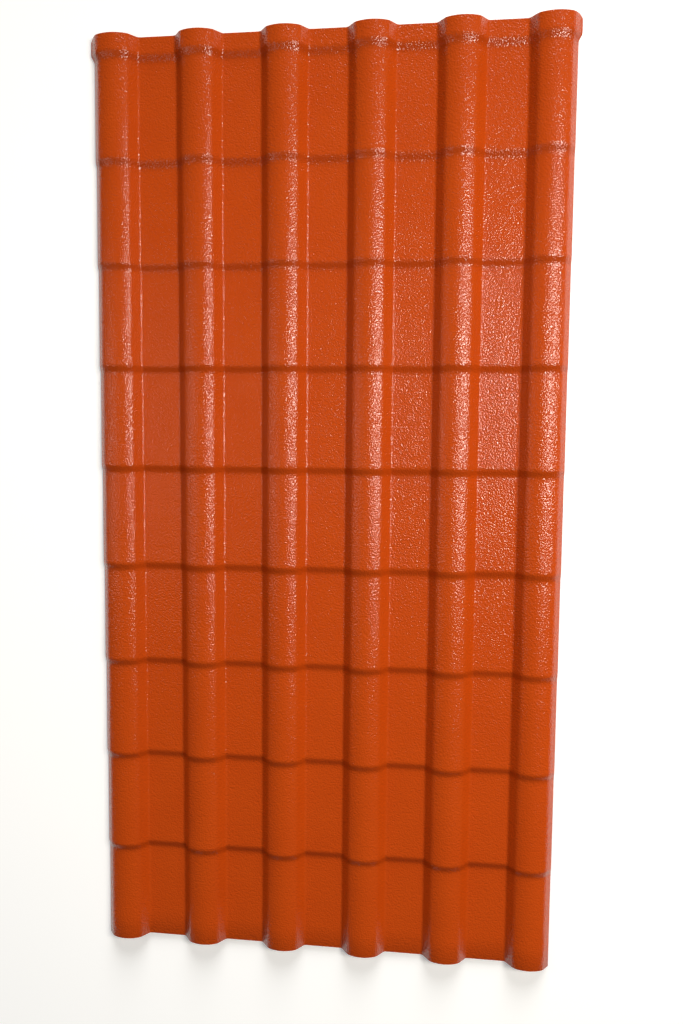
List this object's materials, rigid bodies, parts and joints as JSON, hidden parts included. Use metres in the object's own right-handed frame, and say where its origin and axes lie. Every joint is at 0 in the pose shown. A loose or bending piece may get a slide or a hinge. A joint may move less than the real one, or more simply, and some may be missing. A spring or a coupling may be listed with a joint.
{
  "type": "tile effect roofing sheet",
  "caption": "Tile effect roofing sheet: barrel crowns and flat pans run up it, stepped across into tile rows, with a wider lip at the upper end.",
  "frame": {"origin": "under the middle of the sheet, on the floor: the folds of the underside lie on z = 0", "axes": "+Y up the roof along the crowns, towards the lip; +Z out of the roof; +X across the waves"},
  "size_m": [0.892, 1.748, 0.0338],
  "materials": {
    "sheet": "terracotta orange, semi-gloss, embossed with a fine leather grain on the weather face"
  },
  "bodies": {
    "root": {"tile_sheet": "sheet"}
  },
  "joints": []
}
